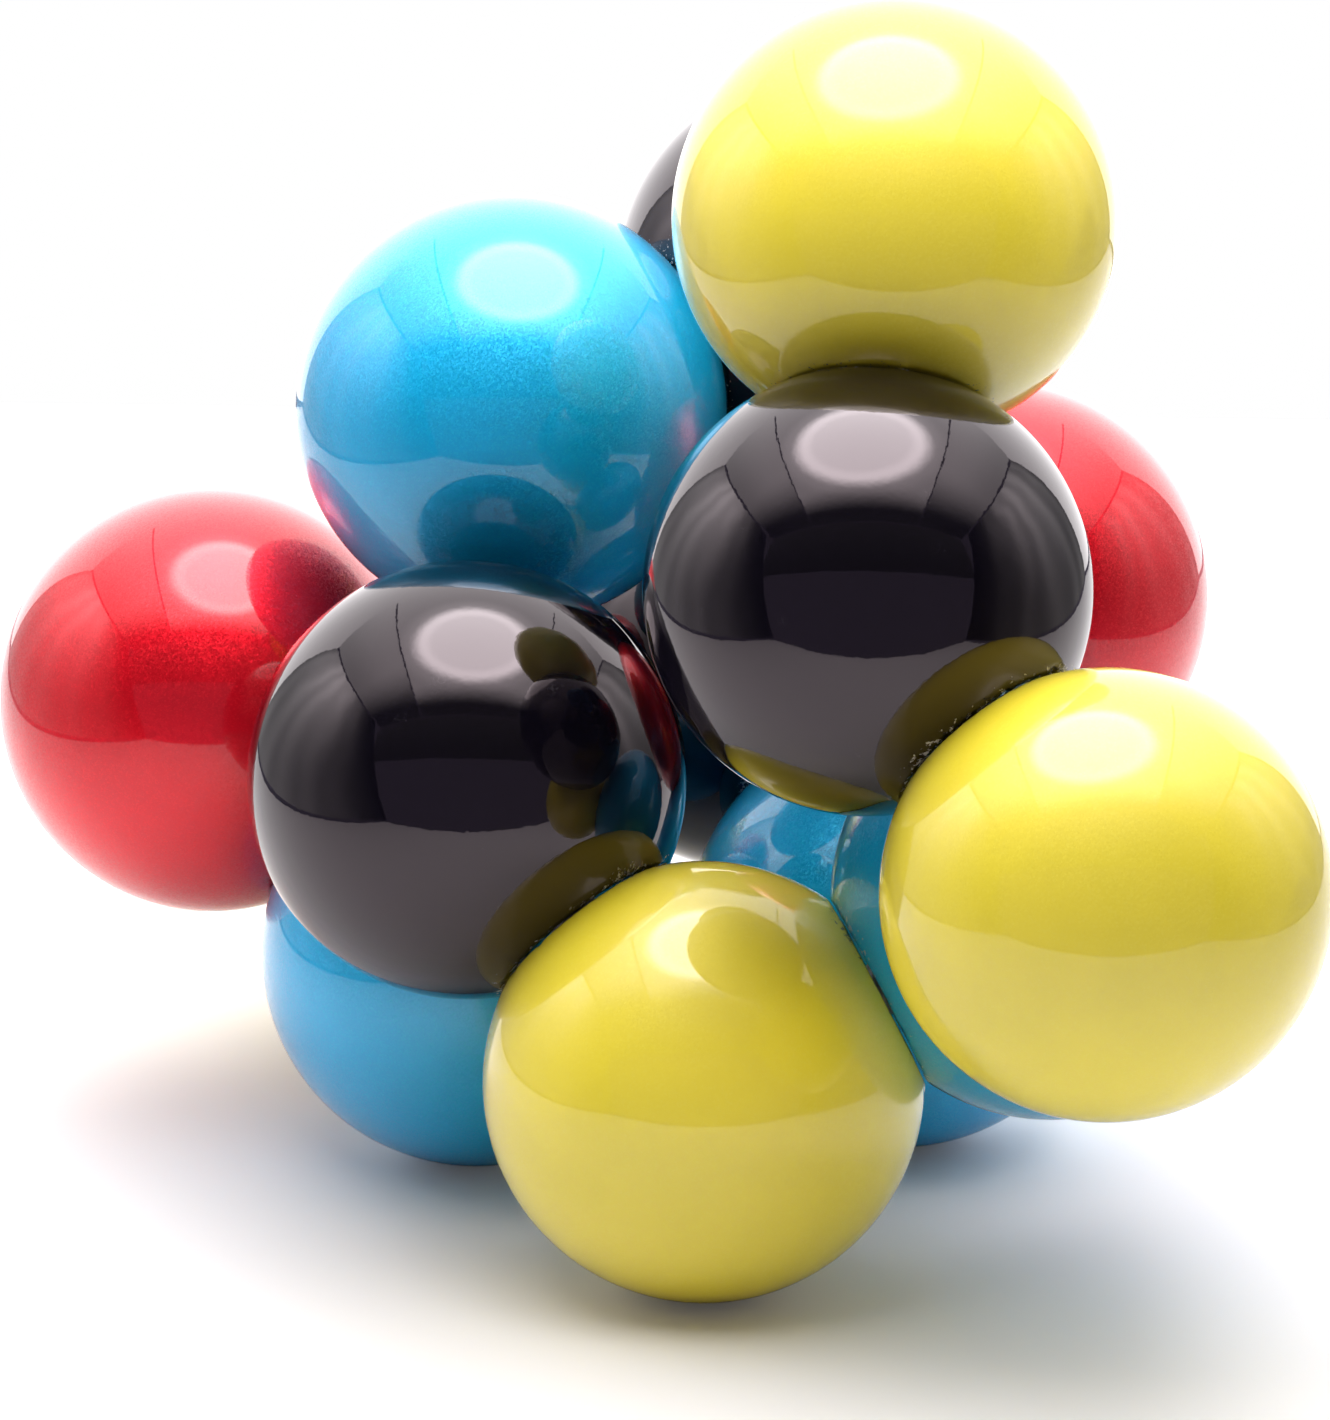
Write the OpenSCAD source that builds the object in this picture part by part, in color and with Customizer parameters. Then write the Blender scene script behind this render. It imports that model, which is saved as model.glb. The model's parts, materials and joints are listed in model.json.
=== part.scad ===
// Twisty ball snake: a chain of lacquered wooden balls, each swivelling on the next,
// folded into a compact cluster that stands on three of its balls.

/* [Balls] */
// Diameter of every ball
ball_d = 32; // [30:0.5:42]
// Depth of the flat turned on a ball at each swivel
flat_cut = 1.9; // [1.3:0.1:1.9]
// Gap between the two flats of a swivel
face_gap = 0.2; // [0.1:0.05:0.4]

/* [Swivel pin] */
// Diameter of the steel pin that joins two balls
pin_d = 4; // [3:0.1:5]
// Length of pin pressed into its own ball
pin_seat = 7; // [5:0.5:8]
// Air left below the pressed end of a pin
pin_relief = 0.5; // [0.2:0.1:1]
// Thickness of the pin's head
head_t = 1.3; // [1:0.1:1.8]
// Radial room between the pin's head and the bore it turns in
head_room = 0.7; // [0.4:0.05:0.9]
// Air left behind the pin's head
head_relief = 0.6; // [0.3:0.1:1]

/* [Bush] */
// Outer diameter of the bush's barrel
bush_d = 8; // [7:0.1:9.6]
// Length of the barrel behind the flange
bush_len = 4; // [3:0.1:4.8]
// Width of the flange around the barrel
flange_lip = 1.4; // [1:0.1:1.8]
// Thickness of the flange, which lies flush in the flat
flange_t = 1; // [0.8:0.1:1.5]

/* [Spring washer] */
// Thickness of the conical washer's metal
washer_t = 0.4; // [0.3:0.05:0.5]
// Height of the cone above its own thickness
washer_rise = 0.5; // [0.3:0.05:0.7]

/* [Fits] */
// Radial running clearance of the pin in its bush
run_clear = 0.05; // [0.03:0.01:0.09]
// Radial clearance of the washer around the pin
washer_clear = 0.15; // [0.1:0.01:0.3]
// Axial play between the bush and the washer
end_play = 0.05; // [0.03:0.01:0.1]
// Radial clearance of the flange in its counterbore
flange_clear = 0.05; // [0.03:0.01:0.1]
// Radial interference of pin and bush in their wooden holes
press = 0.01; // [0.005:0.005:0.02]

/* [Bend between the two flats of a ball] */
// Ball 2
bend_02 = 140; // [66:1:150]
// Ball 3
bend_03 = 70; // [66:1:150]
// Ball 4
bend_04 = 95; // [66:1:150]
// Ball 5
bend_05 = 100; // [66:1:150]
// Ball 6
bend_06 = 80; // [66:1:150]
// Ball 7
bend_07 = 85; // [66:1:150]
// Ball 8
bend_08 = 75; // [66:1:150]
// Ball 9
bend_09 = 100; // [66:1:150]
// Ball 10
bend_10 = 110; // [66:1:150]
// Ball 11
bend_11 = 70; // [66:1:150]
// Ball 12
bend_12 = 120; // [66:1:150]
// Ball 13
bend_13 = 85; // [66:1:150]

/* [Turn of each swivel in the folded shape] */
// Between balls 2 and 3
turn_02 = -86; // [-180:1:180]
// Between balls 3 and 4
turn_03 = -82; // [-180:1:180]
// Between balls 4 and 5
turn_04 = 104; // [-180:1:180]
// Between balls 5 and 6
turn_05 = 103; // [-180:1:180]
// Between balls 6 and 7
turn_06 = 173; // [-180:1:180]
// Between balls 7 and 8
turn_07 = 146; // [-180:1:180]
// Between balls 8 and 9
turn_08 = -58; // [-180:1:180]
// Between balls 9 and 10
turn_09 = 76; // [-180:1:180]
// Between balls 10 and 11
turn_10 = -141; // [-180:1:180]
// Between balls 11 and 12
turn_11 = 10; // [-180:1:180]
// Between balls 12 and 13
turn_12 = 70; // [-180:1:180]

/* [Standing] */
// Turn of the whole cluster about the upright
facing = 118; // [-180:1:180]

/* [Hidden] */
$fn = 96;
// How far a cutter runs past the surface that it cuts
past = 1;
chamfer = 0.3;

bends = [bend_02, bend_03, bend_04, bend_05, bend_06, bend_07,
         bend_08, bend_09, bend_10, bend_11, bend_12, bend_13];
turns = [turn_02, turn_03, turn_04, turn_05, turn_06, turn_07,
         turn_08, turn_09, turn_10, turn_11, turn_12];
lacquers = ["gold", "black", "gold", "darkcyan", "gold", "black", "darkcyan",
            "crimson", "gold", "black", "darkcyan", "crimson", "black", "darkcyan"];
// The three balls that the cluster stands on
feet = [5, 7, 11];
balls = len(bends) + 2;

ball_r = ball_d / 2;
pin_r = pin_d / 2;
bush_r = bush_d / 2;
flange_r = bush_r + flange_lip;
head_r = bush_r - head_room;

// Stations along a swivel, from the middle of the ball that holds the pin
flat_at = ball_r - flat_cut;
bush_face = flat_at + face_gap;
flange_end = bush_face + flange_t;
bush_end = flange_end + bush_len;
washer_start = bush_end + end_play;
head_start = washer_start + washer_rise + washer_t;
head_end = head_start + head_t;
bore_end = head_end + head_relief;
pin_start = flat_at - pin_seat;
link = flat_at + bush_face;

function numbered(name, k) = str(name, k < 10 ? "_0" : "_", k);

function rot_x(a) = [[1, 0, 0], [0, cos(a), -sin(a)], [0, sin(a), cos(a)]];
function rot_z(a) = [[cos(a), -sin(a), 0], [sin(a), cos(a), 0], [0, 0, 1]];
function unit(v) = v / norm(v);
function mean(list) = [for (c = list) 1] * list / len(list);

// Frame at the far side of ball k, whose first column points to the next ball
function frame_after(k) = k == 1
    ? rot_z(0)
    : frame_after(k - 1) * rot_z(180 - bends[k - 2]) * (k < balls - 1 ? rot_x(turns[k - 2]) : rot_z(0));

// Middles of the balls, laid out from ball 1
function laid_out(k) = k == 1 ? [0, 0, 0] : laid_out(k - 1) + frame_after(k - 1) * [link, 0, 0];
chain = [for (k = [1 : balls]) laid_out(k)];

// The same middles, set upright on the plane under the three feet and centred on the origin
foot = [for (k = feet) chain[k - 1]];
foot_x = unit(foot[1] - foot[0]);
foot_z = unit(cross(foot_x, foot[2] - foot[0]));
upright = (mean(chain) - foot[0]) * foot_z > 0 ? foot_z : -foot_z;
stand = rot_z(facing) * [foot_x, cross(upright, foot_x), upright];
stood = [for (c = chain) stand * c];
least = [for (axis = [0 : 2]) min([for (c = stood) c[axis]])];
most = [for (axis = [0 : 2]) max([for (c = stood) c[axis]])];
origin = [(least[0] + most[0]) / 2, (least[1] + most[1]) / 2, least[2] - ball_r];
centres = [for (c = stood) c - origin];

// Puts its children on swivel k, with +Z from the middle of ball k towards that of ball k + 1
module on_swivel(k) {
    run = centres[k] - centres[k - 1];
    translate(centres[k - 1])
        rotate([0, acos(run[2] / norm(run)), atan2(run[1], run[0])])
            children();
}

// Round space from one station of a swivel to another
module bore(r, from, to) {
    translate([0, 0, from]) cylinder(r = r, h = to - from);
}

// What is cut from the ball that holds the pin: the flat and the pin's hole
module pin_side() {
    bore(ball_r, flat_at, ball_r + past);
    bore(pin_r - press, pin_start - pin_relief, flat_at + past);
}

// What is cut from the ball that holds the bush: the flat, the counterbore and the bore
module bush_side() {
    bore(ball_r, bush_face - flat_cut - past, bush_face);
    bore(flange_r + flange_clear, bush_face - past, flange_end);
    bore(bush_r - press, bush_face - past, bore_end);
}

module ball(k) {
    color(lacquers[k - 1]) difference() {
        translate(centres[k - 1]) sphere(r = ball_r);
        if (k < balls) on_swivel(k) pin_side();
        if (k > 1) on_swivel(k - 1) bush_side();
    }
}

// Headed pin, pressed into ball k and turning in the bush of ball k + 1
module pin(k) {
    color("silver") on_swivel(k) rotate_extrude() polygon([
        [0, pin_start],
        [pin_r - chamfer, pin_start],
        [pin_r, pin_start + chamfer],
        [pin_r, head_start],
        [head_r, head_start],
        [head_r, head_end - chamfer],
        [head_r - chamfer, head_end],
        [0, head_end]
    ]);
}

// Conical spring washer under the head of pin k
module washer(k) {
    color("lightsteelblue") on_swivel(k) rotate_extrude() polygon([
        [head_r, washer_start],
        [head_r, washer_start + washer_t],
        [pin_r + washer_clear, head_start],
        [pin_r + washer_clear, head_start - washer_t]
    ]);
}

// Flanged bush pressed into ball k, around the pin of ball k - 1
module bush(k) {
    color("goldenrod") on_swivel(k - 1) rotate_extrude() polygon([
        [pin_r + run_clear, bush_face],
        [flange_r, bush_face],
        [flange_r, flange_end],
        [bush_r, flange_end],
        [bush_r, bush_end - chamfer],
        [bush_r - chamfer, bush_end],
        [pin_r + run_clear, bush_end]
    ]);
}

for (k = [1 : balls])
    ball(k);
for (k = [1 : balls - 1])
    pin(k);
for (k = [1 : balls - 1])
    washer(k);
for (k = [2 : balls])
    bush(k);
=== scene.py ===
import json
import math

import bpy
import numpy as np
from mathutils import Matrix, Vector

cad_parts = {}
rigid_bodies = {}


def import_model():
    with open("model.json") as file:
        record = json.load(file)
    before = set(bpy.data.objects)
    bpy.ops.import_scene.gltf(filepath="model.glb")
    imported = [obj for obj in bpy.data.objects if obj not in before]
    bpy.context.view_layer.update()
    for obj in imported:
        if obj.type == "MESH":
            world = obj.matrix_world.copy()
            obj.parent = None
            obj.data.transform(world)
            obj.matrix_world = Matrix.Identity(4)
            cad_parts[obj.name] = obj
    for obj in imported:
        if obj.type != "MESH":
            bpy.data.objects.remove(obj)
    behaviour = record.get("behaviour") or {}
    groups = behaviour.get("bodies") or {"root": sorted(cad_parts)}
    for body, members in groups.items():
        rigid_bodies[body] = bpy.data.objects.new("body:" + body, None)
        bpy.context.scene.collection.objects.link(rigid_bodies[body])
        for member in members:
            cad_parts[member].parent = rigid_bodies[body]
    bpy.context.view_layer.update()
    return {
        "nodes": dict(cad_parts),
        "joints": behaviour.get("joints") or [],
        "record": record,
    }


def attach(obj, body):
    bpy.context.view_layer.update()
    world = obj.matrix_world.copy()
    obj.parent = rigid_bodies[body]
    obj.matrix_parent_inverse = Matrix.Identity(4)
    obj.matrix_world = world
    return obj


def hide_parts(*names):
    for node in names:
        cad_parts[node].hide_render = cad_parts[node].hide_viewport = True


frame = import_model()
scene = bpy.context.scene


def ballCentres(joints):
    # a swivel's place is midway between two balls and its axis points from the parent to the child,
    # so half a link back and forth along the axis gives both middles
    places = np.array([j["pos_m"] for j in joints])
    onward = np.array([1.0 if j["child"] > j["parent"] else -1.0 for j in joints])
    axes = np.array([j["axis"] for j in joints]) * onward[:, None]
    axes /= np.linalg.norm(axes, axis=1)[:, None]
    link = 2 * np.linalg.norm(places[1] - places[0]) / np.linalg.norm(axes[0] + axes[1])
    centres = np.vstack([places - axes * link / 2, places[-1:] + axes[-1:] * link / 2])
    return centres, axes, link


swivels = sorted(frame["joints"], key=lambda joint: joint["name"])
centres, axes, link = ballCentres(swivels)
ballCount = len(centres)
ballSlots = {s["node"]: s["material_slot"] for s in frame["record"]["subparts"]}


ballLook = {
    "radius": 0.016,
    "faceGap": 0.0002,
    "rimRound": 0.0007,  # radius that rolls the lacquer over the edge of a flat
    "columns": 192,
    "sphereRows": 56,
    "rimRows": 6,
    "waviness": 0.000005,  # height of the slow waves in the lacquer
    "waveLength": 0.011,
    "chipDepth": 0.00016,  # deepest nick in the edge of a flat
    "seed": 11,
    "waveFade": 0.002,  # the slow waves grow to full height over this distance from a rim
    "nickLengths": (0.0021, 0.0009),  # wavelengths of the two waves that make the nicks
    "nickShare": 0.5,
    "nickLevel": 0.55,
    "nickBand": 0.00045,
}

socketLook = {
    "pinRadius": 0.002,
    "pinHole": 0.0075,  # depth of the pin's hole below the flat
    "flangeRadius": 0.00545,
    "flangeDepth": 0.001,
    "boreRadius": 0.004,
    "boreDepth": 0.00785,
    "edge": 0.00008,  # support rows on both sides of a sharp edge
}


def withSupports(corners, edge):
    # each inner corner gets a point just before and just after it, so that smooth shading stays crisp
    corners = np.asarray(corners, float)
    rows = [corners[0]]
    for before, here, after in zip(corners[:-2], corners[1:-1], corners[2:]):
        rows.append(here + (before - here) * min(edge / np.linalg.norm(before - here), 0.4))
        rows.append(here + (after - here) * min(edge / np.linalg.norm(after - here), 0.4))
    rows.append(corners[-1])
    return np.array(rows)


def rimArc(radius, flatAt, rimRound, rows):
    # circle of radius rimRound inside the corner between the flat (height flatAt) and the ball:
    # its middle is at height flatAt - rimRound and at distance radius - rimRound from the ball's middle
    height = flatAt - rimRound
    reach = math.sqrt((radius - rimRound) ** 2 - height**2)
    turn = np.linspace(math.pi / 2, math.atan2(height, reach), rows)
    return np.stack([reach + rimRound * np.cos(turn), height + rimRound * np.sin(turn)], 1)


def socketProfile(kind, radius, flatAt):
    # (distance from the swivel's axis, height along it), from the bottom of the hole out to the ball
    s = socketLook
    if kind == "pin":
        inside = [(0, flatAt - s["pinHole"]), (s["pinRadius"], flatAt - s["pinHole"]),
                  (s["pinRadius"], flatAt)]
    else:
        seat = flatAt - s["flangeDepth"]
        floor = flatAt - s["boreDepth"]
        inside = [(0, floor), (s["boreRadius"], floor), (s["boreRadius"], seat),
                  (s["flangeRadius"], seat), (s["flangeRadius"], flatAt)]
    arc = rimArc(radius, flatAt, ballLook["rimRound"], ballLook["rimRows"])
    return np.vstack([withSupports(inside + [arc[0]], s["edge"])[:-1], arc])


def waves(points, wavelength, rng):
    # sum of six plane sine waves in random directions, about -1 to 1
    directions = rng.normal(size=(6, 3))
    directions /= np.linalg.norm(directions, axis=1)[:, None]
    phases = rng.uniform(0, 2 * math.pi, 6)
    return np.sin(points @ directions.T * (2 * math.pi / wavelength) + phases).mean(-1) * 1.6


def halfBall(toward, away, profile, columns, rows, radius):
    # u points to this socket and v to the other one, e1 is square to u on v's side, e2 = u x e1.
    # socket rows:  p = h u + rho (cos f e1 + sin f e2)
    # ball rows:    p = R (cos t u + sin t (cos f e1 + sin f e2)), t from the rim to tMax(f)
    # tMax is where the mirror plane between u and v is met: tan tMax = sin(b/2) / (cos(b/2) cos f)
    u = toward
    side = away - (away @ u) * u
    e1 = side / np.linalg.norm(side)
    e2 = np.cross(u, e1)
    f = np.linspace(0, 2 * math.pi, columns, endpoint=False)
    around = np.cos(f)[:, None] * e1 + np.sin(f)[:, None] * e2
    socket = profile[:, 1, None, None] * u + profile[:, 0, None, None] * around
    halfBend = math.acos(np.clip(u @ away, -1, 1)) / 2
    tMax = np.arctan2(math.sin(halfBend), math.cos(halfBend) * np.cos(f))
    tRim = math.atan2(profile[-1, 0], profile[-1, 1])
    s = np.linspace(0, 1, rows + 1)[1:, None]
    t = tRim + (tMax - tRim) * s
    ball = radius * (np.cos(t)[..., None] * u + np.sin(t)[..., None] * around)
    return np.concatenate([socket, ball]), around


def meshFromRows(name, grid):
    # rows of points round an axis, whose first and last rows are each a single point
    rows, columns = grid.shape[:2]
    inner = grid[1:-1].reshape(-1, 3)
    points = np.vstack([grid[0, :1], inner, grid[-1, :1]])
    here = np.arange(columns)
    nextOne = (here + 1) % columns
    starts = 1 + columns * np.arange(rows - 3)[:, None]
    quads = np.stack([starts + here, starts + nextOne, starts + columns + nextOne,
                      starts + columns + here], -1).reshape(-1, 4)
    last = len(points) - 1
    firstCap = np.stack([np.zeros_like(here), 1 + nextOne, 1 + here], 1)
    lastRow = last - columns
    lastCap = np.stack([np.full_like(here, last), lastRow + here, lastRow + nextOne], 1)
    a, b, c, d = (points[quads[:, k]] for k in range(4))
    volume = np.einsum("ij,ij->", np.cross(a, b), c) + np.einsum("ij,ij->", np.cross(a, c), d)
    if volume < 0:
        quads, firstCap, lastCap = quads[:, ::-1], firstCap[:, ::-1], lastCap[:, ::-1]
    mesh = bpy.data.meshes.new(name)
    mesh.from_pydata(points.tolist(), [], quads.tolist() + firstCap.tolist() + lastCap.tolist())
    mesh.polygons.foreach_set("use_smooth", np.ones(len(mesh.polygons), bool))
    mesh.update()
    return mesh


def flatten(values):
    # one number per grid point, in the order in which meshFromRows keeps the points
    return np.concatenate([values[0, :1], values[1:-1].reshape(-1), values[-1, :1]]).astype(np.float32)


def makeBall(index):
    look = ballLook
    name = "lacqueredBall%02d" % (index + 1)
    node = "ball_%02d" % (index + 1)
    radius, flatAt = look["radius"], (link - look["faceGap"]) / 2
    rng = np.random.default_rng(look["seed"] + index)
    pinWay = axes[index] if index < ballCount - 1 else None
    bushWay = -axes[index - 1] if index > 0 else None
    first = pinWay if pinWay is not None else bushWay
    firstKind = "pin" if pinWay is not None else "bush"
    profile = socketProfile(firstKind, radius, flatAt)
    rimAngle = math.asin(math.sqrt(1 - (flatAt / radius) ** 2))
    ways = [w for w in (pinWay, bushWay) if w is not None]
    if len(ways) == 2:
        near, _ = halfBall(pinWay, bushWay, profile, look["columns"], look["sphereRows"], radius)
        other = socketProfile("bush", radius, flatAt)
        far, _ = halfBall(pinWay, bushWay, other, look["columns"], look["sphereRows"], radius)
        mirrorWay = (pinWay - bushWay) / np.linalg.norm(pinWay - bushWay)
        far = far - 2 * (far @ mirrorWay)[..., None] * mirrorWay
        grid = np.concatenate([near, far[-2::-1]])
    else:
        # an end ball has one socket: its rows run on from the rim to the opposite pole
        helper = np.cross(first, [0.3, 0.5, 0.8])
        helper /= np.linalg.norm(helper)
        near, around = halfBall(first, helper, profile, look["columns"], 1, radius)
        tRim = math.atan2(profile[-1, 0], profile[-1, 1])
        t = np.linspace(tRim, math.pi, look["sphereRows"] * 2)[1:, None]
        ball = radius * (np.cos(t)[..., None] * first + np.sin(t)[..., None] * around)
        grid = np.concatenate([near[:-1], ball])
    reach = np.linalg.norm(grid, axis=2)
    outward = grid / np.maximum(reach, 1e-9)[..., None]
    angles = np.stack([np.arccos(np.clip(outward @ w, -1, 1)) for w in ways])
    fromRim = (angles.min(0) - rimAngle) * radius
    onBall = reach > radius - 2e-5
    # slow waves in the lacquer only ever sink below the ball, and fade out at the rims
    calm = np.clip(fromRim / look["waveFade"], 0, 1) * onBall
    sink = look["waviness"] * (1 + waves(grid, look["waveLength"], rng)) * calm
    # nicks in the edge of a flat: sharp peaks of faster waves, within half a millimetre of the rim
    slow, quick = look["nickLengths"]
    peaks = waves(grid, slow, rng) + look["nickShare"] * waves(grid, quick, rng)
    nicks = np.clip(peaks - look["nickLevel"], 0, 1)
    edgeBand = np.exp(-((fromRim / look["nickBand"]) ** 2)) * (reach > flatAt)
    sink = sink + look["chipDepth"] * nicks * edgeBand
    grid = grid - outward * sink[..., None]
    mesh = meshFromRows(name, grid + centres[index])
    rimGap = mesh.attributes.new("rimGap", "FLOAT", "POINT")
    rimGap.data.foreach_set("value", flatten(fromRim * 1000))
    piece = bpy.data.objects.new(name, mesh)
    scene.collection.objects.link(piece)
    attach(piece, "link_%02d" % (index + 1))
    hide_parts(node)
    return piece


def addNode(tree, kind, place, **values):
    node = tree.nodes.new(kind)
    node.location = place
    for key, value in values.items():
        setattr(node, key, value)
    return node


def wire(tree, source, target):
    tree.links.new(source, target)


def mathStep(tree, operation, a, b=None, clamp=False, place=(0, 0)):
    node = addNode(tree, "ShaderNodeMath", place, operation=operation, use_clamp=clamp)
    for socket, value in zip(node.inputs, (a, b)):
        if value is None:
            continue
        if isinstance(value, (int, float)):
            socket.default_value = value
        else:
            wire(tree, value, socket)
    return node.outputs[0]


def rangeStep(tree, value, low, high, toLow=0.0, toHigh=1.0, smooth=True, place=(0, 0)):
    node = addNode(tree, "ShaderNodeMapRange", place, clamp=True)
    node.interpolation_type = "SMOOTHSTEP" if smooth else "LINEAR"
    wire(tree, value, node.inputs["Value"])
    for key, number in (("From Min", low), ("From Max", high), ("To Min", toLow), ("To Max", toHigh)):
        node.inputs[key].default_value = number
    return node.outputs["Result"]


def mixColours(tree, factor, a, b, place=(0, 0), blend="MIX"):
    node = addNode(tree, "ShaderNodeMix", place, data_type="RGBA", blend_type=blend)
    for socket, value in ((node.inputs[0], factor), (node.inputs[6], a), (node.inputs[7], b)):
        if isinstance(value, (int, float)):
            socket.default_value = value
        elif isinstance(value, tuple):
            socket.default_value = (*value[:3], 1)
        else:
            wire(tree, value, socket)
    return node.outputs[2]


def noise(tree, vector, scale, detail=2.0, roughness=0.5, place=(0, 0)):
    node = addNode(tree, "ShaderNodeTexNoise", place)
    wire(tree, vector, node.inputs["Vector"])
    node.inputs["Scale"].default_value = scale
    node.inputs["Detail"].default_value = detail
    node.inputs["Roughness"].default_value = roughness
    return node.outputs["Fac"]


def newGroup(name, inputs, outputs):
    group = bpy.data.node_groups.new(name, "ShaderNodeTree")
    for label, kind, value in inputs:
        socket = group.interface.new_socket(name=label, in_out="INPUT", socket_type=kind)
        if value is not None:
            socket.default_value = value
    for label, kind in outputs:
        group.interface.new_socket(name=label, in_out="OUTPUT", socket_type=kind)
    start = addNode(group, "NodeGroupInput", (-900, 0))
    end = addNode(group, "NodeGroupOutput", (700, 0))
    return group, start, end


def placeGroup(tree, group, place, **values):
    node = addNode(tree, "ShaderNodeGroup", place, node_tree=group)
    for key, value in values.items():
        socket = node.inputs[key.replace("_", " ")]
        if isinstance(value, (int, float)):
            socket.default_value = value
        elif isinstance(value, tuple):
            socket.default_value = (*value[:3], 1)
        else:
            wire(tree, value, socket)
    return node


def makeOrangePeel():
    # fine dimples of a sprayed lacquer: two sizes of noise, added
    group, start, end = newGroup("orangePeel", [
        ("Vector", "NodeSocketVector", None), ("Dimple Scale", "NodeSocketFloat", 900.0),
    ], [("Height", "NodeSocketFloat")])
    big = addNode(group, "ShaderNodeTexNoise", (-500, 150))
    small = addNode(group, "ShaderNodeTexNoise", (-500, -150))
    for node, share in ((big, 1.0), (small, 3.1)):
        wire(group, start.outputs["Vector"], node.inputs["Vector"])
        scale = mathStep(group, "MULTIPLY", start.outputs["Dimple Scale"], share,
                         place=(-700, 150 - 300 * (share > 1)))
        wire(group, scale, node.inputs["Scale"])
        node.inputs["Detail"].default_value = 1.5
    smallShare = mathStep(group, "MULTIPLY", small.outputs["Fac"], 0.35, place=(-250, -150))
    wire(group, mathStep(group, "ADD", big.outputs["Fac"], smallShare, place=(0, 0)), end.inputs["Height"])
    return group


def makeFlakes():
    # mica or metal flakes: each cell of a fine Voronoi pattern has its own brightness and its own lean,
    # a random vector of up to half a unit each way, and the brightest few give the mask of a painted glint
    group, start, end = newGroup("mineralFlakes", [
        ("Vector", "NodeSocketVector", None), ("Flake Scale", "NodeSocketFloat", 7000.0),
        ("Share", "NodeSocketFloat", 0.3),
    ], [("Sparkle", "NodeSocketFloat"), ("Grain", "NodeSocketFloat"), ("Lean", "NodeSocketVector")])
    cells = addNode(group, "ShaderNodeTexVoronoi", (-600, 100))
    wire(group, start.outputs["Vector"], cells.inputs["Vector"])
    wire(group, start.outputs["Flake Scale"], cells.inputs["Scale"])
    split = addNode(group, "ShaderNodeSeparateColor", (-400, 100))
    wire(group, cells.outputs["Color"], split.inputs["Color"])
    edge = mathStep(group, "SUBTRACT", 1.0, start.outputs["Share"], place=(-400, -150))
    over = mathStep(group, "SUBTRACT", split.outputs["Red"], edge, place=(-200, 0))
    sparkle = mathStep(group, "DIVIDE", over, start.outputs["Share"], True, place=(0, 0))
    wire(group, sparkle, end.inputs["Sparkle"])
    wire(group, split.outputs["Green"], end.inputs["Grain"])
    lean = addNode(group, "ShaderNodeVectorMath", (-400, 300), operation="SUBTRACT")
    lean.inputs[1].default_value = (0.5, 0.5, 0.5)
    wire(group, cells.outputs["Color"], lean.inputs[0])
    wire(group, lean.outputs[0], end.inputs["Lean"])
    return group


def makeScuffs():
    # short hairline scratches: ridges of a stretched, twisted noise, kept only in scattered patches
    group, start, end = newGroup("handlingScuffs", [
        ("Vector", "NodeSocketVector", None), ("Amount", "NodeSocketFloat", 0.5),
    ], [("Mask", "NodeSocketFloat")])
    turned = addNode(group, "ShaderNodeMapping", (-700, 150))
    turned.inputs["Rotation"].default_value = (0.6, 0.4, 1.1)
    turned.inputs["Scale"].default_value = (1.0, 0.12, 1.0)
    wire(group, start.outputs["Vector"], turned.inputs["Vector"])
    lines = noise(group, turned.outputs["Vector"], 1500.0, 2.0, 0.6, (-500, 150))
    offMiddle = mathStep(group, "SUBTRACT", lines, 0.5, place=(-350, 150))
    ridge = mathStep(group, "ABSOLUTE", offMiddle, place=(-200, 150))
    thin = rangeStep(group, ridge, 0.0, 0.012, 1.0, 0.0, place=(-50, 150))
    patches = rangeStep(group, noise(group, start.outputs["Vector"], 190.0, 3.0, 0.6, (-500, -150)),
                        0.60, 0.70, place=(-200, -150))
    both = mathStep(group, "MULTIPLY", thin, patches, place=(150, 50))
    mask = mathStep(group, "MULTIPLY", both, start.outputs["Amount"], True, place=(350, 50))
    wire(group, mask, end.inputs["Mask"])
    return group


def makeRimWear():
    # chips along the edge of a flat: noise against a limit that rises with the distance from the rim,
    # and a dull rubbed band beside it
    group, start, end = newGroup("rimWear", [
        ("Vector", "NodeSocketVector", None), ("Rim Gap", "NodeSocketFloat", 10.0),
        ("Amount", "NodeSocketFloat", 0.5),
    ], [("Chips", "NodeSocketFloat"), ("Rub", "NodeSocketFloat")])
    fine = noise(group, start.outputs["Vector"], 2300.0, 4.0, 0.7, (-600, 200))
    patches = noise(group, start.outputs["Vector"], 260.0, 2.0, 0.5, (-600, -50))
    outside = mathStep(group, "MAXIMUM", start.outputs["Rim Gap"], 0.0, place=(-600, -300))
    climb = mathStep(group, "MULTIPLY", outside, 0.13, place=(-400, -300))
    level = mathStep(group, "SUBTRACT", fine, climb, place=(-300, 150))
    patchShare = mathStep(group, "MULTIPLY", patches, 0.45, place=(-300, -50))
    level = mathStep(group, "ADD", level, patchShare, place=(-150, 100))
    lowered = mathStep(group, "MULTIPLY", start.outputs["Amount"], 0.16, place=(-300, -200))
    level = mathStep(group, "ADD", level, lowered, place=(0, 100))
    wire(group, rangeStep(group, level, 0.84, 0.88, place=(200, 100)), end.inputs["Chips"])
    near = rangeStep(group, outside, 0.0, 2.2, 1.0, 0.0, place=(-150, -300))
    rub = mathStep(group, "MULTIPLY", near, patches, place=(50, -200))
    rub = mathStep(group, "MULTIPLY", rub, start.outputs["Amount"], True, place=(250, -200))
    wire(group, rub, end.inputs["Rub"])
    return group


orangePeel = makeOrangePeel()
mineralFlakes = makeFlakes()
handlingScuffs = makeScuffs()
rimWear = makeRimWear()
print("shader groups built")


# each lacquer's second colour is the darker one for the random cloudy tone and for the painted shade towards
# each ball's edge
# each lacquer's third colour is the lighter one of the painted glint in the brightest flake cells, which also
# gives the flakes their own tone
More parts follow.
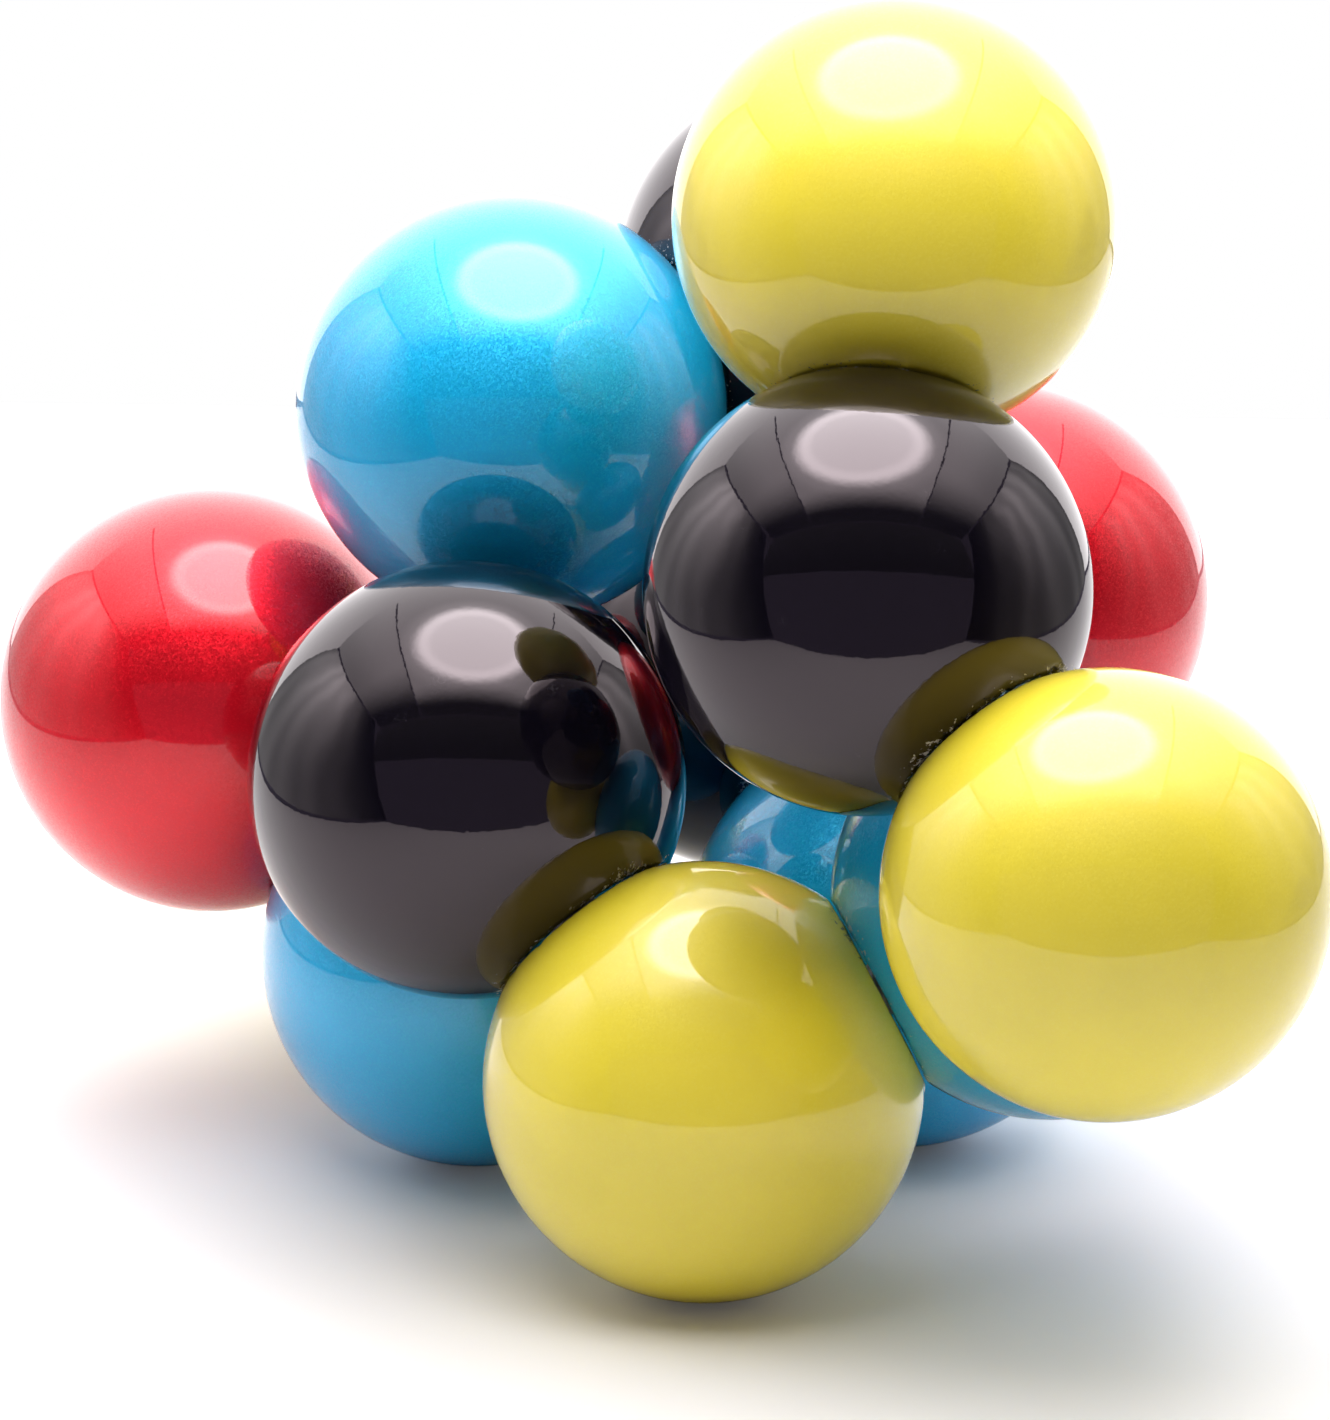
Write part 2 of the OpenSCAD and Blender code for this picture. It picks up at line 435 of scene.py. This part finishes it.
lacquers = {
    "lacquer_yellow": {
        "paint": (0.84, 0.69, 0.022), "deepAndLimbShade": (0.75, 0.62, 0.012), "flakeGlint": (0.85, 0.75, 0.10),
        "metal": 0.04, "rough": 0.50, "baseIor": 1.6, "coatIor": 1.52, "tilt": 0.05, "tint": (1, 1, 1),
        "flakeScale": 7000.0, "flakeShare": 0.35, "flakeGlow": 0.15, "chip": (0.20, 0.18, 0.08), "wear": 0.22,
    },
    "lacquer_cyan": {
        "paint": (0.0, 0.43, 0.80), "deepAndLimbShade": (0.0, 0.34, 0.68), "flakeGlint": (0.01, 0.60, 0.82),
        "metal": 0.22, "rough": 0.36, "baseIor": 1.35, "coatIor": 1.52, "tilt": 0.22, "tint": (1, 1, 1),
        "flakeScale": 9000.0, "flakeShare": 0.40, "flakeGlow": 0.32, "chip": (0.35, 0.50, 0.55), "wear": 0.22,
    },
    "lacquer_red": {
        "paint": (0.76, 0.001, 0.014), "deepAndLimbShade": (0.56, 0.001, 0.010), "flakeGlint": (1.0, 0.02, 0.03),
        "metal": 0.55, "rough": 0.36, "baseIor": 1.3, "coatIor": 1.49, "tilt": 0.20, "tint": (1, 1, 1),
        "flakeScale": 9000.0, "flakeShare": 0.40, "flakeGlow": 0.30, "chip": (0.35, 0.10, 0.08), "wear": 0.20,
    },
    "lacquer_black": {
        "paint": (0.0050, 0.0040, 0.0085), "deepAndLimbShade": (0.0042, 0.0034, 0.0075), "flakeGlint": (0.03, 0.03, 0.04),
        "metal": 0.0, "rough": 0.03, "baseIor": 1.6, "coatIor": 1.5, "tilt": 0.0, "tint": (1.0, 0.86, 0.90),
        "flakeScale": 5000.0, "flakeShare": 0.15, "flakeGlow": 0.06, "chip": (0.42, 0.40, 0.40), "wear": 0.30,
    },
}


# what all four lacquers share
coating = {
    "dimpleScale": 1100.0, "cloudScale": 120.0, "cloudLow": 0.35, "cloudHigh": 0.7, "cloudDepth": 0.35,
    # the two limb values below set how wide and how dark the painted shade towards each ball's edge is
    "limbBlend": 0.35, "limbShadeAmount": 0.4, "scuffAmount": 0.5, "scuffShow": 0.12,
    "grainRough": 0.12, "plainGrainRough": 0.01, "rubRough": 0.25, "wornRough": 0.4,
    "coatRough": 0.03, "bumpStrength": 0.12, "bumpDistance": 0.00003, "nickHeight": 2.0,
}


def makeLacquer(name, look):
    # the mix towards the darker colour = clouds + the Layer Weight facing value times a share, which is
    # random cloudy tone plus painted shade towards each ball's edge; the colour goes from paint to the darker
    # colour with it, then to the flake colour with the flake mask times its share, a painted glint in the
    # brightest flake cells, then to chip where worn; worn = the larger of chips and scuffs * scuffShow;
    # roughness = rough + grain * grainRough + rub * rubRough + worn * wornRough;
    # metal and coat fade where worn; bump height = dimples - worn * nickHeight
    c = coating
    material = bpy.data.materials.new(name)
    material.use_nodes = True
    tree = material.node_tree
    tree.nodes.clear()
    output = addNode(tree, "ShaderNodeOutputMaterial", (1100, 0))
    shader = addNode(tree, "ShaderNodeBsdfPrincipled", (800, 0))
    wire(tree, shader.outputs[0], output.inputs["Surface"])
    place = addNode(tree, "ShaderNodeTexCoord", (-1200, 0)).outputs["Object"]
    rimGap = addNode(tree, "ShaderNodeAttribute", (-1200, -300), attribute_name="rimGap").outputs["Fac"]
    flakes = placeGroup(tree, mineralFlakes, (-900, 250), Vector=place,
                        Flake_Scale=look["flakeScale"], Share=look["flakeShare"])
    wear = placeGroup(tree, rimWear, (-900, -250), Vector=place, Rim_Gap=rimGap, Amount=look["wear"])
    scuffs = placeGroup(tree, handlingScuffs, (-900, -50), Vector=place, Amount=c["scuffAmount"])
    peel = placeGroup(tree, orangePeel, (-900, -500), Vector=place, Dimple_Scale=c["dimpleScale"])
    clouds = noise(tree, place, c["cloudScale"], 3.0, 0.5, (-900, 500))
    clouds = rangeStep(tree, clouds, c["cloudLow"], c["cloudHigh"], 0.0, c["cloudDepth"], place=(-700, 500))
    # painted shade: the facing value mixes the paint towards its darker colour, so each ball darkens towards
    # its edge as seen, on top of the random cloudy tone
    facing = addNode(tree, "ShaderNodeLayerWeight", (-900, 700))
    facing.inputs["Blend"].default_value = c["limbBlend"]
    limbShade = mathStep(tree, "MULTIPLY", facing.outputs["Facing"], c["limbShadeAmount"], place=(-700, 700))
    toneAndLimbShade = mathStep(tree, "ADD", clouds, limbShade, True, place=(-500, 600))
    paint = mixColours(tree, toneAndLimbShade, look["paint"], look["deepAndLimbShade"], (-300, 500))
    # painted glint: the brightest flake cells are mixed towards a lighter colour whatever the light, partly
    # the flakes' own tone and partly painted sparkle
    sparkle = mathStep(tree, "MULTIPLY", flakes.outputs["Sparkle"], look["flakeGlow"], place=(-500, 300))
    paint = mixColours(tree, sparkle, paint, look["flakeGlint"], (-100, 400))
    scuffed = mathStep(tree, "MULTIPLY", scuffs.outputs["Mask"], c["scuffShow"], place=(-500, -100))
    worn = mathStep(tree, "MAXIMUM", wear.outputs["Chips"], scuffed, True, place=(-300, -100))
    paint = mixColours(tree, worn, paint, look["chip"], (150, 300))
    wire(tree, paint, shader.inputs["Base Color"])
    grainShare = c["grainRough"] if look["metal"] else c["plainGrainRough"]
    grain = mathStep(tree, "MULTIPLY", flakes.outputs["Grain"], grainShare, place=(-500, 150))
    rough = mathStep(tree, "ADD", grain, look["rough"], place=(-300, 150))
    rubbed = mathStep(tree, "MULTIPLY", wear.outputs["Rub"], c["rubRough"], place=(-500, 0))
    rough = mathStep(tree, "ADD", rough, rubbed, place=(-100, 100))
    wornRough = mathStep(tree, "MULTIPLY", worn, c["wornRough"], place=(-300, 0))
    rough = mathStep(tree, "ADD", rough, wornRough, True, place=(100, 100))
    wire(tree, rough, shader.inputs["Roughness"])
    if look["metal"]:
        bare = mathStep(tree, "SUBTRACT", 1.0, worn, True, place=(100, -100))
        metal = mathStep(tree, "MULTIPLY", bare, look["metal"], place=(300, -50))
        wire(tree, metal, shader.inputs["Metallic"])
        wire(tree, bare, shader.inputs["Coat Weight"])
        shader.inputs["Coat Roughness"].default_value = c["coatRough"]
        shader.inputs["Coat IOR"].default_value = look["coatIor"]
    shader.inputs["IOR"].default_value = look["baseIor"]
    shader.inputs["Specular Tint"].default_value = (*look["tint"], 1)
    bump = addNode(tree, "ShaderNodeBump", (500, -350))
    bump.inputs["Strength"].default_value = c["bumpStrength"]
    bump.inputs["Distance"].default_value = c["bumpDistance"]
    nicks = mathStep(tree, "MULTIPLY", worn, c["nickHeight"], place=(-100, -350))
    height = mathStep(tree, "SUBTRACT", peel.outputs["Height"], nicks, place=(200, -350))
    wire(tree, height, bump.inputs["Height"])
    if look["tilt"]:
        # the flakes lie unevenly under the clear coat: normal + lean * tilt, made one long again
        scaled = addNode(tree, "ShaderNodeVectorMath", (500, -600), operation="SCALE")
        wire(tree, flakes.outputs["Lean"], scaled.inputs[0])
        scaled.inputs["Scale"].default_value = look["tilt"]
        tilted = addNode(tree, "ShaderNodeVectorMath", (700, -500), operation="ADD")
        wire(tree, bump.outputs["Normal"], tilted.inputs[0])
        wire(tree, scaled.outputs[0], tilted.inputs[1])
        unit = addNode(tree, "ShaderNodeVectorMath", (850, -400), operation="NORMALIZE")
        wire(tree, tilted.outputs[0], unit.inputs[0])
        wire(tree, unit.outputs[0], shader.inputs["Normal"])
    else:
        wire(tree, bump.outputs["Normal"], shader.inputs["Normal"])
    return material


lacquerMaterials = {name: makeLacquer(name, look) for name, look in lacquers.items()}
for index in range(ballCount):
    ball = makeBall(index)
    ball.data.materials.append(lacquerMaterials[ballSlots["ball_%02d" % (index + 1)]])
print("balls made:", ballCount)


hardware = {
    "pin_steel": {"colour": (0.56, 0.56, 0.57), "dark": (0.30, 0.30, 0.32), "rough": 0.28},
    "spring_steel": {"colour": (0.30, 0.32, 0.38), "dark": (0.14, 0.15, 0.20), "rough": 0.34},
    "bush_brass": {"colour": (0.78, 0.55, 0.22), "dark": (0.45, 0.28, 0.10), "rough": 0.30},
}


def makeHardware(name, look):
    # turned metal: the colour goes to dark where a slow noise is high, which is tarnish;
    # roughness = rough + fine noise * 0.2, and the same fine noise is the bump's height
    material = bpy.data.materials.new(name)
    material.use_nodes = True
    tree = material.node_tree
    shader = tree.nodes["Principled BSDF"]
    place = addNode(tree, "ShaderNodeTexCoord", (-1000, 0)).outputs["Object"]
    tarnish = noise(tree, place, 420.0, 4.0, 0.6, (-800, 200))
    tarnish = rangeStep(tree, tarnish, 0.42, 0.68, place=(-600, 200))
    colour = mixColours(tree, tarnish, look["colour"], look["dark"], (-300, 200))
    wire(tree, colour, shader.inputs["Base Color"])
    lines = noise(tree, place, 5200.0, 2.0, 0.5, (-800, -100))
    spread = mathStep(tree, "MULTIPLY", lines, 0.2, place=(-600, -100))
    wire(tree, mathStep(tree, "ADD", spread, look["rough"], place=(-300, -50)), shader.inputs["Roughness"])
    shader.inputs["Metallic"].default_value = 1.0
    bump = addNode(tree, "ShaderNodeBump", (-300, -300))
    bump.inputs["Distance"].default_value = 0.00001
    bump.inputs["Strength"].default_value = 0.4
    wire(tree, lines, bump.inputs["Height"])
    wire(tree, bump.outputs["Normal"], shader.inputs["Normal"])
    return material


hardwareMaterials = {name: makeHardware(name, look) for name, look in hardware.items()}
for node, thing in frame["nodes"].items():
    if ballSlots[node] in hardwareMaterials:
        thing.data.materials.clear()
        thing.data.materials.append(hardwareMaterials[ballSlots[node]])
print("hardware finished")


tent = {
    "floorLeft": -0.165, "floorRight": 0.205, "front": -0.20, "back": 0.24,
    "roofFront": -0.24, "roofBack": 0.25, "roofHeight": 0.30,
    "seam": 0.147, "reach": 0.335, "wallTop": 0.293,
    "flapFoot": 0.15, "gap": 0.0035,  # gap between two cloths, which shows as a thin dark seam
    "floorColour": (0.70, 0.70, 0.70), "floorLift": 0.05,
    "outerLift": 0.7, "liftPlace": (0, 0), "liftFrom": 0.075, "liftTo": 0.165,
    "spotPlace": (0.0, -0.005), "spotRadius": 0.117, "spotSoft": 0.016,
    "spotGlow": 5.8, "ringGlow": 1.3, "ringWidth": 0.02, "haloGlow": 1.0, "haloRadius": 0.17,
    "roofGlow": 2.3, "shoulderGlow": 1.3, "diffuseGlow": 4.9, "clothColour": (1.0, 0.97, 0.98),
    "patchPlace": (0.05, 0.25), "patchRadius": 0.24, "patchGlow": 2.0, "wallGlow": 0.45,
    "sideShare": {-1: 1.2, 1: 0.75}, "foldDepth": 0.14, "foldRate": 85.0, "foldSway": 0.09, "swayScale": 7.0,
    # where each cloth starts to glow and where it glows fully, going back from the opening
    "roofFade": (-0.20, -0.115), "shoulderFade": (-0.19, -0.03), "wallFade": (-0.19, 0.03),
    "fadeFloor": 0.03,
    "backGlow": 2.3, "flapGlow": 0.10, "openGlow": 0.19, "openColour": (1.0, 0.88, 1.2),
    "fillPlace": (0.10, -0.62, 0.62), "fillSize": 0.35, "fillWatts": 3.0,
}


def panel(name, corners, material, camera=False, glossy=True, diffuse=True):
    mesh = bpy.data.meshes.new(name)
    mesh.from_pydata([tuple(c) for c in corners], [], [(0, 1, 2, 3)])
    mesh.materials.append(material)
    thing = bpy.data.objects.new(name, mesh)
    scene.collection.objects.link(thing)
    thing.visible_camera, thing.visible_glossy, thing.visible_diffuse = camera, glossy, diffuse
    return thing


def glowMaterial(name):
    material = bpy.data.materials.new(name)
    material.use_nodes = True
    tree = material.node_tree
    tree.nodes.clear()
    output = addNode(tree, "ShaderNodeOutputMaterial", (900, 0))
    glow = addNode(tree, "ShaderNodeEmission", (700, 0))
    glow.inputs["Color"].default_value = (*tent["clothColour"], 1)
    wire(tree, glow.outputs[0], output.inputs["Surface"])
    place = addNode(tree, "ShaderNodeTexCoord", (-900, 0)).outputs["Object"]
    split = addNode(tree, "ShaderNodeSeparateXYZ", (-700, 0))
    wire(tree, place, split.inputs[0])
    return material, tree, glow, split.outputs, place


def distanceFrom(tree, a, b, middle):
    # root of the summed squares of the two distances from the middle
    da = mathStep(tree, "SUBTRACT", a, middle[0], place=(-500, 100))
    db = mathStep(tree, "SUBTRACT", b, middle[1], place=(-500, -100))
    squares = mathStep(tree, "ADD", mathStep(tree, "MULTIPLY", da, da, place=(-350, 100)),
                       mathStep(tree, "MULTIPLY", db, db, place=(-350, -100)), place=(-200, 0))
    return mathStep(tree, "SQRT", squares, place=(-50, 0))


def frontFade(tree, strength, along, dark, lit):
    # the cloth darkens towards the opening: almost nothing at y = dark, full glow at y = lit
    fade = rangeStep(tree, along, dark, lit, tent["fadeFloor"], 1.0, place=(400, -500))
    return mathStep(tree, "MULTIPLY", strength, fade, place=(600, -300))


def roofMaterial():
    # a lamp shines through the cloth: an even round spot with a brighter ring at its edge,
    # and a halo that fades into the roof's own glow
    material, tree, glow, xyz, _ = glowMaterial("tentRoof")
    away = distanceFrom(tree, xyz["X"], xyz["Y"], tent["spotPlace"])
    edge, soft = tent["spotRadius"], tent["spotSoft"]
    core = rangeStep(tree, away, edge - soft, edge + soft, tent["spotGlow"], 0.0, place=(150, 200))
    offRing = mathStep(tree, "SUBTRACT", away, edge - tent["ringWidth"], place=(50, 0))
    offRing = mathStep(tree, "ABSOLUTE", offRing, place=(150, 0))
    ring = rangeStep(tree, offRing, 0.0, tent["ringWidth"], tent["ringGlow"], 0.0, place=(300, 0))
    halo = rangeStep(tree, away, edge, tent["haloRadius"], tent["haloGlow"], 0.0, place=(150, -200))
    total = mathStep(tree, "ADD", core, ring, place=(400, 100))
    total = mathStep(tree, "ADD", total, halo, place=(480, 0))
    total = mathStep(tree, "ADD", total, tent["roofGlow"], place=(560, 0))
    wire(tree, frontFade(tree, total, xyz["Y"], *tent["roofFade"]), glow.inputs["Strength"])
    return material


def shoulderMaterial():
    # roof cloth outside the seams: its glow falls off sideways
    material, tree, glow, xyz, _ = glowMaterial("tentShoulder")
    sideways = mathStep(tree, "ABSOLUTE", xyz["X"], place=(-400, 0))
    fall = rangeStep(tree, sideways, tent["seam"], tent["reach"], tent["roofGlow"], tent["shoulderGlow"],
                     place=(-100, 0))
    wire(tree, frontFade(tree, fall, xyz["Y"], *tent["shoulderFade"]), glow.inputs["Strength"])
    return material


def wallMaterial(side):
    # cloth wall: a soft lit patch high up behind the middle, which fades low down and to the front,
    # with shallow folds that a slow noise bends
    material, tree, glow, xyz, place = glowMaterial("tentWallLeft" if side < 0 else "tentWallRight")
    away = distanceFrom(tree, xyz["Y"], xyz["Z"], tent["patchPlace"])
    patch = rangeStep(tree, away, 0.0, tent["patchRadius"], tent["patchGlow"], 0.0, place=(150, 0))
    sway = noise(tree, place, tent["swayScale"], 1.0, 0.5, (-500, -400))
    sway = mathStep(tree, "MULTIPLY", sway, tent["foldSway"], place=(-300, -400))
    along = mathStep(tree, "ADD", xyz["Y"], sway, place=(-150, -400))
    folds = mathStep(tree, "MULTIPLY", along, tent["foldRate"], place=(0, -400))
    folds = mathStep(tree, "SINE", folds, place=(150, -400))
    folds = mathStep(tree, "MULTIPLY", folds, tent["foldDepth"], place=(300, -400))
    folds = mathStep(tree, "ADD", folds, tent["sideShare"][side], place=(400, -300))
    lit = mathStep(tree, "ADD", patch, tent["wallGlow"], place=(300, 0))
    total = mathStep(tree, "MULTIPLY", lit, folds, place=(500, 0))
    wire(tree, frontFade(tree, total, xyz["Y"], *tent["wallFade"]), glow.inputs["Strength"])
    return material


def flapMaterial():
    # the cloth over the opening darkens from its top to its free edge
    material, tree, glow, xyz, _ = glowMaterial("tentFlap")
    fade = rangeStep(tree, xyz["Z"], tent["flapFoot"], tent["roofHeight"], 0.05, tent["flapGlow"],
                     place=(-100, 0))
    wire(tree, fade, glow.inputs["Strength"])
    return material


def plainGlow(name, strength):
    material, _, glow, _, _ = glowMaterial(name)
    glow.inputs["Strength"].default_value = strength
    return material


def floorMaterial():
    # matt white board; the camera alone sees an added glow, which climbs from floorLift near the object
    # to outerLift far from it, with the distance from the middle
    material = bpy.data.materials.new("whiteFloor")
    material.use_nodes = True
    tree = material.node_tree
    shader = tree.nodes["Principled BSDF"]
    shader.inputs["Base Color"].default_value = (*tent["floorColour"], 1)
    shader.inputs["Roughness"].default_value = 0.7
    shader.inputs["Emission Color"].default_value = (1, 1, 1, 1)
    seenByCamera = addNode(tree, "ShaderNodeLightPath", (-600, -200)).outputs["Is Camera Ray"]
    place = addNode(tree, "ShaderNodeTexCoord", (-900, -400)).outputs["Object"]
    split = addNode(tree, "ShaderNodeSeparateXYZ", (-800, -400))
    wire(tree, place, split.inputs[0])
    away = distanceFrom(tree, split.outputs["X"], split.outputs["Y"], tent["liftPlace"])
    amount = rangeStep(tree, away, tent["liftFrom"], tent["liftTo"], tent["floorLift"], tent["outerLift"],
                       place=(-500, -400))
    lift = mathStep(tree, "MULTIPLY", seenByCamera, amount, place=(-300, -200))
    wire(tree, lift, shader.inputs["Emission Strength"])
    return material


def makeFillLamp():
    # soft lamp above the camera that lights the paint and the floor but isn't mirrored in the lacquer
    data = bpy.data.lights.new("fillLamp", "AREA")
    data.shape, data.size, data.energy = "DISK", tent["fillSize"], tent["fillWatts"]
    lamp = bpy.data.objects.new("fillLamp", data)
    scene.collection.objects.link(lamp)
    lamp.location = tent["fillPlace"]
    lamp.rotation_euler = (Vector((0, 0, 0.03)) - lamp.location).to_track_quat("-Z", "Y").to_euler()
    lamp.visible_glossy = False


def putUpTent():
    t, g = tent, tent["gap"]
    front, back, high, seam, reach = t["front"], t["back"], t["roofHeight"], t["seam"], t["reach"]
    low = t["wallTop"]
    panel("floor", [(t["floorLeft"], front, 0), (t["floorRight"], front, 0), (t["floorRight"], back, 0),
                    (t["floorLeft"], back, 0)], floorMaterial(), True)
    y0, y1 = t["roofFront"], t["roofBack"]
    middle = [(-seam, y0, high), (-seam, y1, high), (seam, y1, high), (seam, y0, high)]
    panel("tentRoof", middle, roofMaterial(), diffuse=False)
    # the lamp's light on paint and floor, evened out over the same cloth
    panel("tentRoofSoft", middle, plainGlow("tentRoofSoft", t["diffuseGlow"]), glossy=False)
    shoulder = shoulderMaterial()
    for side, foot in ((-1, t["floorLeft"]), (1, t["floorRight"])):
        inner, outer = side * (seam + g), side * reach
        panel("tentShoulder", [(inner, y0, high), (outer, y0, high), (outer, y1, high), (inner, y1, high)],
              shoulder)
        panel("tentWall", [(foot + side * g, front, g), (foot + side * g, back, g), (side * reach, back, low),
                           (side * reach, front, low)], wallMaterial(side))
    panel("tentBack", [(-reach, back, g), (reach, back, g), (reach, back, high), (-reach, back, high)],
          plainGlow("tentBackCloth", t["backGlow"]))
    panel("tentFlap", [(-reach, y0, t["flapFoot"]), (reach, y0, t["flapFoot"]), (reach, y0, high - g),
                       (-reach, y0, high - g)], flapMaterial())


putUpTent()
makeFillLamp()

world = bpy.data.worlds.new("studio")
scene.world = world
world.use_nodes = True
tree = world.node_tree
tree.nodes.clear()
worldOut = addNode(tree, "ShaderNodeOutputWorld", (600, 0))
seen = addNode(tree, "ShaderNodeBackground", (200, 150))
seen.inputs["Color"].default_value = (1, 1, 1, 1)
dim = addNode(tree, "ShaderNodeBackground", (200, -50))
dim.inputs["Color"].default_value = (*tent["openColour"], 1)
dim.inputs["Strength"].default_value = tent["openGlow"]
pick = addNode(tree, "ShaderNodeMixShader", (400, 50))
wire(tree, addNode(tree, "ShaderNodeLightPath", (0, 250)).outputs["Is Camera Ray"], pick.inputs[0])
wire(tree, dim.outputs[0], pick.inputs[1])
wire(tree, seen.outputs[0], pick.inputs[2])
wire(tree, pick.outputs[0], worldOut.inputs["Surface"])
print("tent put up")


cameraLook = {
    "aim": (0.00144, 0.00361, 0.0369),
    "distance": 0.958,
    "azimuth": -0.19,
    "elevation": 15.44,
    "roll": 0.70,
    "lens": 329.5,
    "sensor": 36.0,
}


def makeCamera(look):
    data = bpy.data.cameras.new("camera")
    data.lens, data.sensor_width = look["lens"], look["sensor"]
    data.clip_start, data.clip_end = 0.05, 20
    thing = bpy.data.objects.new("camera", data)
    scene.collection.objects.link(thing)
    a, e = math.radians(look["azimuth"]), math.radians(look["elevation"])
    backward = Vector((-math.sin(a) * math.cos(e), -math.cos(a) * math.cos(e), math.sin(e)))
    turn = (-backward).to_track_quat("-Z", "Y").to_matrix().to_4x4()
    roll = Matrix.Rotation(math.radians(look["roll"]), 4, "Z")
    thing.matrix_world = Matrix.Translation(Vector(look["aim"]) + backward * look["distance"]) @ turn @ roll
    scene.camera = thing


makeCamera(cameraLook)
scene.view_settings.view_transform = "Standard"
